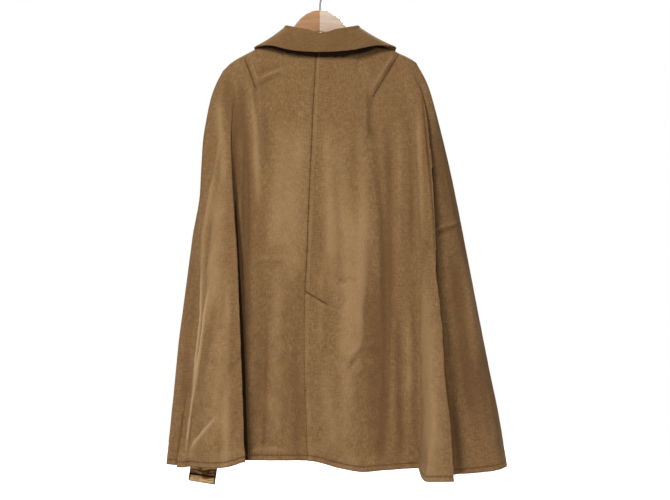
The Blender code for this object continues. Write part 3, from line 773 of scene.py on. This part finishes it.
CREASES |= {
    (FRONT, LEFT): (
        (-2.4, 10, ((-150, -300), (-156, -450), (-160, -620), (-168, -800))),
        (2.2, 14, ((-190, -420), (-204, -600), (-222, -820))),
        (-2.2, 12, ((-236, -540), (-250, -720), (-268, -920))),
        (2.0, 12, ((-62, -420), (-66, -600), (-72, -860))),
        (-2.0, 8, ((-132, -226), (-104, -216), (-76, -212))),
        (-2.2, 6, ((-214, -500), (-236, -512), (-252, -520))),
    ),
    (FRONT, RIGHT): (
        (-2.4, 10, ((110, -280), (112, -430), (108, -600), (104, -760))),
        (2.4, 12, ((176, -380), (190, -560), (206, -760), (220, -960))),
        (-2.2, 12, ((242, -520), (262, -700), (286, -900))),
        (2.0, 12, ((58, -420), (56, -600), (52, -820))),
        (-2.2, 8, ((150, -196), (126, -222), (108, -258))),
        (2.0, 14, ((304, -640), (322, -780), (338, -930))),
        (-2.2, 5, ((238, -520), (262, -514), (286, -510))),
    ),
}


def front_edge(x, heights):
    """The front edges are turned and pressed, and stitched a little way in."""
    from_edge = np.abs(np.abs(x) - LAP_WIDTH)
    return -0.6 * np.exp(-((from_edge - EDGE_STITCH) / 1.6) ** 2)


front_wool = wool_twill("wool_twill_front")
for name, side, flat, area in (("front_left", LEFT, (0.45, 0.91), 0.28),
                               ("front_right", RIGHT, (0.50, 0.91), 0.32)):
    edge = lambda height, side=side: np.full_like(height, -side * LAP_WIDTH)
    grid, heights, hems, shade = panel_grid(side, FRONT, edge, 70, 80, 210)
    if side == LEFT:
        # The left front dips under the right one
        inside = grid[..., 0] + LAP_WIDTH
        grid[..., 1] -= LAP_STEP * smooth((inside + LAP_EASE) / LAP_EASE)
    grid, lift, painted_highlight = finish_panel(grid, heights, hems, side, FRONT, front_edge)
    surfaces[name] = (grid, heights - hems, grid_normals(grid, side * FRONT))
    # Painted light and shade: the lift paints ridges lighter and troughs darker, and the
    # folds' edges paint shade beside them
    marks = {"painted_light_and_shade": np.minimum(lift, RIDGE_LIMIT - FOLD_SHADE * shade),
             "painted_highlight": painted_highlight, "hem": heights - hems}
    piece = cloth_sheet("cloth_" + name, grid, side * FRONT, CLOTH, front_wool, marks)
    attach(piece, "root")
    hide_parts(name)


# The collar, stand and fall in one piece of doubled twill. Its stand is sewn to the
# neckline, and it is folded over along a soft roll and pressed flat over the shoulders.
COLLAR_CLOTH = 2.4
COLLAR_ROLL = 4.0
COLLAR_END = 160
COLLAR_SEAT = {BACK: 0.9, FRONT: 1.6}
COLLAR_EDGE_SHIFT = 11.0
COLLAR_ROLL_SHIFT = 4.5

# By the angle round the neck, from the centre back to the front end
COLLAR = table("angle roll_x roll_y roll_z edge_x edge_y edge_z bow",
               (0, 0, -38, -126.8, 0, -53, -167, 3),
               (10, 13, -37.5, -123.5, 21, -53, -166.5, 3),
               (20, 27, -35.5, -118, 42, -52.5, -165, 3),
               (30, 40, -32, -115, 63, -51, -162.5, 3),
               (60, 67, -18, -107.5, 116, -35, -150, 1),
               (80, 70.5, -6, -104.5, 144, -13, -149, -2),
               (90, 71, 0, -104, 149, 0, -151, -3),
               (100, 71, 7, -104.5, 149, 12, -150.5, -2),
               (120, 68, 22, -111, 140, 38, -172, 3),
               (140, 56, 36, -125, 106, 60, -214, 3),
               (160, 32, 46, -155, 66, 72, -246, 3))


def neck_point(angle):
    """A point of the neckline; 0 degrees is the centre back and 180 the front."""
    turn = math.radians(angle)
    depth, fall = NECK[BACK if abs(angle) <= 90 else FRONT]
    height = NECK_POINT_HEIGHT - fall * math.cos(turn) ** 2
    return Vector((NECK_HALF_WIDTH * math.sin(turn), -depth * math.cos(turn), height))


def collar_profile(angle):
    """The collar's middle layer at one angle, from its seam over the roll to its edge."""
    side = LEFT if angle < 0 else RIGHT
    row = {name: float(read(COLLAR, name, abs(angle))) for name in COLLAR}
    seam = neck_point(angle)
    seam.z += COLLAR_SEAT[BACK if abs(angle) <= 90 else FRONT]
    outdoors = Vector((seam.x, seam.y, 0)).normalized()
    seam -= outdoors * COLLAR_CLOTH / 2
    roll = Vector((side * row["roll_x"] + COLLAR_ROLL_SHIFT, row["roll_y"], row["roll_z"]))
    shift = COLLAR_EDGE_SHIFT * float(smooth(abs(angle) / 90))
    edge = Vector((side * row["edge_x"] + shift, row["edge_y"], row["edge_z"]))
    fall = Vector((edge.x - roll.x, edge.y - roll.y, 0)).normalized()
    centre = roll - Vector((0, 0, COLLAR_ROLL))
    profile = [seam.lerp(centre, share) for share in np.linspace(0, 0.9, 8)]
    for turn in range(0, 181, 15):
        up = math.radians(turn)
        profile.append(centre + (fall * (1 - math.cos(up))
                                 + Vector((0, 0, math.sin(up)))) * COLLAR_ROLL)
    start = profile[-1]
    for share in np.linspace(0, 1, 19)[1:]:
        bow = row["bow"] * math.sin(math.pi * share)
        profile.append(start.lerp(edge, share) + (fall * 0.4 + Vector((0, 0, 1))) * bow)
    return [tuple(point) for point in profile]


angles = np.linspace(-COLLAR_END, COLLAR_END, 241)
grid = np.array([collar_profile(angle) for angle in angles])
normals = grid_normals(grid, -1)
grid = grid + normals * COLLAR_CLOTH / 2
# The collar's copy of the twill is darker, a painted shade that keeps its upturned fall from
# looking lighter than the back
collar_wool_painted_darker = wool_twill("wool_twill_collar_painted_darker", "#87673F", "#7B5B37", "#684829")
piece = cloth_sheet("cloth_collar", grid, -1, COLLAR_CLOTH, collar_wool_painted_darker)
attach(piece, "root")
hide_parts("collar")


# The topstitching: one row of buttonhole twist round the hem, 10 mm above its edge, one
# down each front edge, and the short slanted row that catches the vent's underlap.
STITCH_LENGTH = 3.4
STITCH_GAP = 1.1
STITCH_RADIUS = 0.42
SLANT_START = np.array((-29.5, -658))
SLANT_RUN = np.array((44.5, -26))


def spun_thread():
    """Polyester twist, a shade more orange than the cloth, with its own soft shine."""
    material, shader = new_material("polyester_twist")
    place = node(material, "TexCoord").outputs["Object"]
    ply = clouds(material, place, 900)
    colour = blend(material, ply, "#75471F", "#9C6A38")
    join_surface(material, shader, colour, ply, 0.4, 0.0002)
    shader.inputs["Roughness"].default_value = 0.6
    shader.inputs["Sheen Weight"].default_value = 0.2
    return material


def stitched(name, path, normals, material):
    """A row of stitches along a path on the cloth, each one a small capsule."""
    steps = np.linalg.norm(np.diff(path, axis=0), axis=1)
    passed = np.concatenate([[0], np.cumsum(steps)])
    starts = np.arange(0, passed[-1] - STITCH_LENGTH, STITCH_LENGTH + STITCH_GAP)

    def at(distances, values):
        return np.stack([np.interp(distances, passed, values[:, k]) for k in range(3)], -1)

    first, last = at(starts, path), at(starts + STITCH_LENGTH, path)
    out = at(starts + STITCH_LENGTH / 2, normals)
    shape = bmesh.new()
    for a, b, up in zip(first, last, out):
        along = Vector(b - a).normalized()
        up = Vector(up).normalized()
        side = along.cross(up).normalized()
        rings = []
        for share, size, rise in ((0.0, 0.45, -0.25), (0.18, 0.95, 0.12),
                                  (0.5, 1.0, 0.25), (0.82, 0.95, 0.12),
                                  (1.0, 0.45, -0.25)):
            centre = Vector(a).lerp(Vector(b), share) + up * rise
            rings.append([shape.verts.new(
                (centre + (side * math.cos(math.tau * k / 6) + up * math.sin(math.tau * k / 6))
                 * STITCH_RADIUS * size) * MM) for k in range(6)])
        for low, high in zip(rings, rings[1:]):
            for k in range(6):
                shape.faces.new((low[k], high[k], high[(k + 1) % 6], low[(k + 1) % 6]))
        shape.faces.new(rings[0])
        shape.faces.new(rings[-1][::-1])
    bmesh.ops.recalc_face_normals(shape, faces=shape.faces)
    mesh = bpy.data.meshes.new(name)
    shape.to_mesh(mesh)
    shape.free()
    mesh.materials.append(material)
    mesh.shade_smooth()
    piece = new_object(name, mesh)
    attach(piece, "root")


def along_hem(surface):
    """The line on a panel at the hem stitch's height, with the cloth's normals there."""
    grid, from_hem, normals = surface
    path, out = [], []
    for j in range(1, grid.shape[1] - 1):
        for line, values in ((path, grid), (out, normals)):
            line.append([np.interp(HEM_STITCH, from_hem[::-1, j], values[::-1, j, k])
                         for k in range(3)])
    return np.array(path), np.array(out)


twist = spun_thread()
for name, surface in surfaces.items():
    path, out = along_hem(surface)
    stitched("stitches_hem_" + name, path, out, twist)
for name in ("front_left", "front_right"):
    grid, from_hem, normals = surfaces[name]
    from_edge = np.abs(grid[100, :, 0] - grid[100, 0, 0])
    column = int(np.argmin(np.abs(from_edge - EDGE_STITCH)))
    stitched("stitches_edge_" + name, grid[24:-4, column], normals[24:-4, column], twist)

grid, from_hem, normals = surfaces["back_right"]
slant = []
for share in np.linspace(0, 1, 24):
    x, height = SLANT_START + SLANT_RUN * share
    away = np.hypot(grid[..., 0] - x, grid[..., 2] - height)
    nearest = grid[np.unravel_index(np.argmin(away), away.shape)]
    slant.append((x, nearest[1], height))
stitched("stitches_vent", np.array(slant), np.tile((0.0, -1.0, 0.0), (24, 1)), twist)


# The cape's own belt, a doubled band with a golden satin side. It hangs over a loop
# inside the left front, and one of its tails reaches below the hem.
BELT_WIDTH = 57.0
BELT_THICKNESS = 3.0
BELT_TOP = -480.0
BELT_END = -1067.0
BELT_HIDDEN_END = -985.0
BELT_END_X = -251.0
BELT_LEAN = 0.14
BELT_TURN = math.atan(BELT_LEAN)
BELT_DEPTH = 24.0
BELT_CORNER = 7.0
CUFF_HEIGHT = 8.5
CUFF_RISE = 5.0
LOOP_THICKNESS = 2.0


def belt_satin():
    """Polyester satin over a wool core: long floats that shine along the weft."""
    material, shader = new_material("golden_satin")
    place = node(material, "TexCoord").outputs["Object"]
    threads = node(material, "UVMap", uv_map="threads").outputs["UV"]
    own = node(material, "Mapping", {"Vector": place, "Rotation": (0, BELT_TURN, 0),
                                     "Location": (BELT_END_X * MM, 0, BELT_END * MM)},
               vector_type="TEXTURE").outputs["Vector"]
    own = node(material, "SeparateXYZ", {"Vector": own}).outputs
    aside, up = combine(material, "ABSOLUTE", own["X"]), own["Z"]
    floats = clouds(material, threads, 90, stretch=(1, 14, 1), detail=4)
    crushed = clouds(material, place, 1, stretch=(34, 34, 120), turn=(0, -0.45, 0),
                     detail=3, distortion=0.8)
    # Painted glints, where the crumpled satin would catch the light
    glint = ramp(material, crushed, 0.4, 0.6)
    colour = blend(material, floats, "#8A5420", "#BD8140")
    colour = blend(material, glint, colour, "#F0CE92")

    # Above the roll the satin lies in the hem's shade: painted shade darkens it all but its
    # glints, and painted shade darkens its edges, its foot and the line over the roll
    satin_in_painted_shade = combine(material, "MULTIPLY", ramp(material, up, 0.0140, 0.0165),
                     ramp(material, glint, 0, 1, 0.92, 0.3))
    dark = greatest(material, [satin_in_painted_shade, ramp(material, aside, 0.0235, 0.0265, 0, 0.85),
                               ramp(material, up, 0.0052, 0.0022, 0, 0.85),
                               combine(material, "COMPARE", up, 0.0168, 0.0016)])
    colour = blend(material, dark, colour, "#3C2003")
    join_surface(material, shader, colour, floats, 0.3, 0.0004)
    shader.inputs["Roughness"].default_value = 0.42
    shader.inputs["Anisotropic"].default_value = 0.4
    shader.inputs["Specular IOR Level"].default_value = 0.1
    return material


def belt_x(height):
    """The belt's middle line leans towards the cape's centre as it rises."""
    return BELT_END_X + (height - BELT_END) * BELT_LEAN


# The band's middle line, up from its shown end, over the loop and down to its hidden end
satin = belt_satin()
radius = LOOP_THICKNESS / 2 + BELT_THICKNESS / 2 + 0.6
rolled = np.linspace(BELT_END, BELT_END + 26, 27)
rising = np.concatenate([rolled, np.linspace(BELT_END + 26, BELT_TOP, 120)[1:]])
path = [(belt_x(h), BELT_DEPTH - radius, h) for h in rising]
for turn in range(10, 180, 10):
    up = math.radians(turn)
    height = BELT_TOP + radius * math.sin(up)
    path.append((belt_x(height), BELT_DEPTH - radius * math.cos(up), height))
path += [(belt_x(h), BELT_DEPTH + radius, h)
         for h in np.linspace(BELT_TOP, BELT_HIDDEN_END, 120)]
path = np.array(path)
across = np.array((1.0, 0, -BELT_LEAN)) / math.hypot(1, BELT_LEAN) * BELT_WIDTH / 2
spread = np.linspace(-1, 1, 17)
grid = path[:, None, :] + across * spread[None, :, None]
normals = grid_normals(grid, 1)

# Soft ripples across it, thin edges, the roll of its shown end, and a rounded corner
rows_up = np.linspace(0, len(path) * 4, len(path))[:, None]
ripple = 0.5 * np.sin(rows_up / 6.5 + 1.2 * np.sin(spread * 2)) * (1 - spread ** 4)
rim = -0.5 * np.maximum(np.abs(spread) - 0.86, 0) / 0.14
from_end = np.full((len(path), 1), 99.0)
from_end[:len(rising), 0] = rising - BELT_END
cuff = CUFF_RISE * np.sqrt(np.clip(1 - ((from_end - CUFF_HEIGHT) / 8.0) ** 2, 0, 1))
corner = BELT_CORNER - np.sqrt(BELT_CORNER ** 2 - np.maximum(BELT_CORNER - from_end, 0) ** 2)
grid[..., 0] += corner * (1 - spread) / 2
grid = grid + normals * (BELT_THICKNESS / 2 + ripple * 0.5 + rim + cuff)[..., None]
belt = cloth_sheet("cloth_belt", grid, 1, BELT_THICKNESS, satin)
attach(belt, "root")
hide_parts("belt")


# The belt's loop, a doubled strip of the same twill, sewn by both ends to the left front.
# The solid has its shape, and it takes the cape's cloth.
def plain_twill():
    """The same twill on a small strip, with its patterns on Object coordinates."""
    material, shader = new_material("wool_twill_strip")
    place = node(material, "TexCoord").outputs["Object"]
    mottled = clouds(material, place, 220, detail=4)
    colour = blend(material, mottled, "#94754C", "#7D5C3D")
    join_surface(material, shader, colour, mottled, 0.5, 0.0005)
    shader.inputs["Roughness"].default_value = 0.92
    shader.inputs["Sheen Weight"].default_value = 0.18
    return material


def dress(name, material):
    """Gives a CAD node its finish."""
    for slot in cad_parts[name].material_slots:
        slot.material = material


dress("belt_loop", plain_twill())


# The four buttons down the front, of dark horn-like resin, turned with a raised rim and
# sewn on through four holes.
BUTTON_RADIUS = 11.0
BUTTON_THICKNESS = 3.6
BUTTON_RIM = 1.4
BUTTON_DISH = 1.1
HOLE_RADIUS = 0.9
HOLE_PLACE = 1.7
THREAD_RADIUS = 0.45


def horn_resin():
    """Polyester resin cast to look like horn: dark brown, streaked, with a soft gloss."""
    material, shader = new_material("horn_resin")
    place = node(material, "TexCoord").outputs["Object"]
    streaks = clouds(material, place, 90, stretch=(1, 1, 4), detail=5, distortion=1.2)
    colour = blend(material, ramp(material, streaks, 0.35, 0.7), "#2C1A10", "#6B4528")
    material.node_tree.links.new(colour, shader.inputs["Base Color"])
    shader.inputs["Roughness"].default_value = 0.32
    shader.inputs["IOR"].default_value = 1.54
    shader.inputs["Coat Weight"].default_value = 0.2
    return material


resin = horn_resin()
low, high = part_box("button_1")
middle = (low + high) / 2
bpy.ops.object.select_all(action="DESELECT")
bpy.ops.mesh.primitive_cylinder_add(vertices=48, radius=BUTTON_RADIUS * MM,
                                    depth=BUTTON_THICKNESS * MM, location=middle,
                                    rotation=(math.radians(-90), 0, 0))
model = bpy.context.object
bpy.ops.object.transform_apply(location=True, rotation=True, scale=True)
shape = bmesh.new()
shape.from_mesh(model.data)
for face in shape.faces:
    face.select_set(face.normal.y > 0.9)
shape.to_mesh(model.data)
shape.free()
bpy.ops.object.mode_set(mode="EDIT")
bpy.ops.mesh.inset(thickness=BUTTON_RIM * MM)
bpy.ops.mesh.inset(thickness=0.9 * MM)
bpy.ops.transform.translate(value=(0, -BUTTON_DISH * MM, 0))
bpy.ops.mesh.inset(thickness=1.8 * MM)
bpy.ops.transform.translate(value=(0, -0.3 * MM, 0))
bpy.ops.object.mode_set(mode="OBJECT")
rounded = model.modifiers.new("rounded", "BEVEL")
rounded.width = 0.5 * MM
rounded.segments = 3
rounded.limit_method = "ANGLE"
rounded.angle_limit = math.radians(30)
bpy.ops.object.modifier_apply(modifier="rounded")
for x, z in ((-1, -1), (1, -1), (-1, 1), (1, 1)):
    bpy.ops.object.select_all(action="DESELECT")
    bpy.ops.mesh.primitive_cylinder_add(
        vertices=16, radius=HOLE_RADIUS * MM, depth=20 * MM,
        rotation=(math.radians(90), 0, 0),
        location=middle + Vector((x, 0, z)) * HOLE_PLACE * MM)
    drill = bpy.context.object
    select_only(model)
    hole = model.modifiers.new("hole", "BOOLEAN")
    hole.object = drill
    hole.solver = "EXACT"
    bpy.ops.object.modifier_apply(modifier="hole")
    bpy.data.objects.remove(drill)
bpy.ops.object.shade_smooth_by_angle(angle=math.radians(30))
model.data.materials.clear()
model.data.materials.append(resin)


def thread_cross(name, centre):
    """The thread through a button's four holes, two crossed strands."""
    curve = bpy.data.curves.new(name, "CURVE")
    curve.dimensions = "3D"
    curve.bevel_depth = THREAD_RADIUS * MM
    curve.bevel_resolution = 2
    for way in (-1, 1):
        strand = [(way * HOLE_PLACE * t, 0.5 + 0.7 * (1 - t * t), HOLE_PLACE * t)
                  for t in np.linspace(-1, 1, 9)]
        spline = curve.splines.new("POLY")
        spline.points.add(len(strand) - 1)
        for point, at in zip(spline.points, strand):
            point.co = (*((centre + Vector(at)) * MM), 1)
    select_only(new_object(name, curve))
    bpy.ops.object.convert(target="MESH")
    piece = bpy.context.object
    piece.data.materials.append(twist)
    piece.data.shade_smooth()
    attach(piece, "root")


for number in range(1, 5):
    low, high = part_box(f"button_{number}")
    centre = (low + high) / 2
    if number == 1:
        button = model
    else:
        button = model.copy()
        button.data = model.data.copy()
        bpy.context.collection.objects.link(button)
        for vertex in button.data.vertices:
            vertex.co += centre - middle
    button.name = f"resin_button_{number}"
    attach(button, "root")
    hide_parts(f"button_{number}")
    thread_cross(f"button_thread_{number}", centre / MM + Vector((0, 0.2, 0)))


# The hanger's two halves, sawn from a board of stained beech, rounded along their edges,
# lacquered and glued at the middle. Only its hump shows, over the collar.
def lacquered_beech(name, pale, dark, streak):
    """Beech under satin lacquer: fine flecked grain along the arm and a soft gloss."""
    material, shader = new_material(name)
    place = node(material, "TexCoord").outputs["Object"]
    rings = clouds(material, place, 14, stretch=(1, 6, 9), detail=5, distortion=0.6)
    flecks = clouds(material, place, 160, stretch=(1, 12, 12))
    colour = blend(material, ramp(material, rings, 0.35, 0.65), pale, dark)
    colour = blend(material, ramp(material, flecks, 0.55, 0.8, 0, 0.5), colour, streak)
    join_surface(material, shader, colour, flecks, 0.15, 0.0002)
    shader.inputs["Roughness"].default_value = 0.38
    shader.inputs["Coat Weight"].default_value = 0.25
    return material


dress("hanger_left", lacquered_beech("stained_beech", "#B88657", "#A17246", "#835732"))
# The right half takes a much paler copy of the stained beech: painted light, for the light
# that this half catches
dress("hanger_right", lacquered_beech("beech_painted_lit", "#DAC5B2", "#C6AA92", "#AF9077"))


# The hook, bent from 3.2 mm steel wire and plated bright, screwed into the hanger's top.
# It goes over a rail and carries the hanger and the cape.
def plated_steel():
    """Bright nickel plating on drawn wire: a mirror broken by faint drawing lines."""
    material, shader = new_material("nickel_plated_steel")
    place = node(material, "TexCoord").outputs["Object"]
    rough = ramp(material, clouds(material, place, 500), 0, 1, 0.16, 0.3)
    material.node_tree.links.new(rough, shader.inputs["Roughness"])
    shader.inputs["Base Color"].default_value = hex_colour("#C9C7C2")
    shader.inputs["Metallic"].default_value = 1.0
    return material


dress("hook", plated_steel())


# The studio: a round white floor well below the hem, white all round, a soft lamp above
# each side of the cape, and the camera level with its middle.
def floor_paint():
    """Matt white floor paint, rolled on, with its faint stipple."""
    material, shader = new_material("white_floor_paint")
    place = node(material, "TexCoord").outputs["Object"]
    colour = blend(material, clouds(material, place, 300), "#FCFCFC", "#F6F6F6")
    material.node_tree.links.new(colour, shader.inputs["Base Color"])
    shader.inputs["Roughness"].default_value = 0.8
    return material


bpy.ops.object.select_all(action="DESELECT")
bpy.ops.mesh.primitive_circle_add(vertices=96, radius=2.0, fill_type="NGON",
                                  location=(0, 0, -1.3))
floor = bpy.context.object
bpy.ops.object.transform_apply(location=True)
floor.name = "floor"
floor.data.materials.append(floor_paint())


def lamp(name, place, aim, size, power):
    """A soft square lamp turned towards a point."""
    light = bpy.data.lights.new(name, "AREA")
    light.size = size
    light.energy = power
    made = new_object(name, light)
    made.location = place
    made.rotation_euler = (Vector(aim) - Vector(place)).to_track_quat("-Z", "Y").to_euler()


lamp("key", (-1.2, -2.9, 1.5), (0, 0, -0.55), 0.9, 106)
lamp("fill", (2.2, -2.6, 1.2), (0, 0, -0.7), 1.6, 10)
lamp("front_key", (1.2, 2.9, 1.5), (0, 0, -0.55), 1.2, 90)
lamp("floor_lamp", (0, 1.2, 1.4), (0, 1.4, -1.3), 1.2, 60)

world = bpy.data.worlds.new("studio")
world.use_nodes = True
tree = world.node_tree
ambient = tree.nodes["Background"]
ambient.inputs["Color"].default_value = (1, 1, 1, 1)
ambient.inputs["Strength"].default_value = 0.26
backdrop = tree.nodes.new("ShaderNodeBackground")
backdrop.inputs["Color"].default_value = (1, 1, 1, 1)
seen = tree.nodes.new("ShaderNodeLightPath")
both = tree.nodes.new("ShaderNodeMixShader")
tree.links.new(seen.outputs["Is Camera Ray"], both.inputs["Fac"])
tree.links.new(ambient.outputs["Background"], both.inputs[1])
tree.links.new(backdrop.outputs["Background"], both.inputs[2])
tree.links.new(both.outputs["Shader"], tree.nodes["World Output"].inputs["Surface"])
bpy.context.scene.world = world
bpy.context.scene.view_settings.view_transform = "Standard"

lens = bpy.data.cameras.new("camera")
lens.lens = 61.4
lens.sensor_width = 36.0
lens.clip_end = 50.0
camera = new_object("camera", lens)
camera.location = (0.0315, -2.4, -0.574)
camera.rotation_euler = Euler((math.radians(90), 0, 0))
bpy.context.scene.camera = camera
